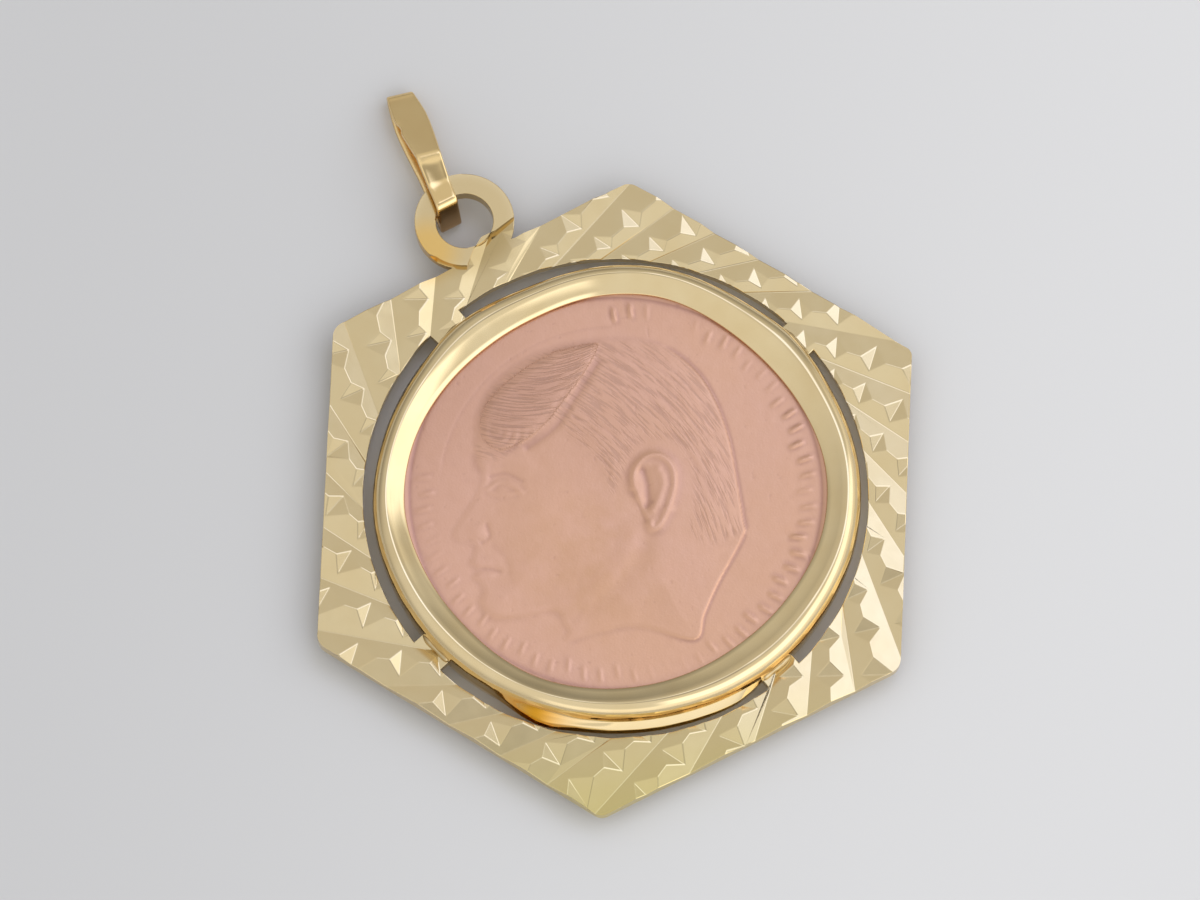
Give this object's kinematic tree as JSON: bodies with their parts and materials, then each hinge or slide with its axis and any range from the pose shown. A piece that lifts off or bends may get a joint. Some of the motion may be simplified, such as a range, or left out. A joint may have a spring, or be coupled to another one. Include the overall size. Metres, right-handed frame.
{
  "type": "hexagonal coin medallion pendant",
  "caption": "Hexagonal diamond-cut pendant with an eye, a swinging strip bail and a round bezel that holds a coin with a plain profile head.",
  "frame": {"origin": "on the resting surface, under the middle of the pendant's bounding box", "axes": "+Z out of the pendant's front, +Y from the plate towards the eye and the bail, +X to the right"},
  "size_m": [0.032, 0.0372, 0.0027],
  "materials": {
    "yellow_gold": "diamond cut plate, polished bezel",
    "rose_coin": "matte, worn",
    "bail_gold": "satin with a polished neck"
  },
  "bodies": {
    "medal": {"frame": "yellow_gold", "coin": "rose_coin"},
    "bail": {"bail": "bail_gold"}
  },
  "joints": [
    {"name": "bail_swing", "type": "hinge", "parent": "medal", "child": "bail", "pos_m": [-0.00027, 0.0129, 0.00125], "axis": [0.9954, -0.0958, 0], "range_deg": [-135, 135]}
  ]
}
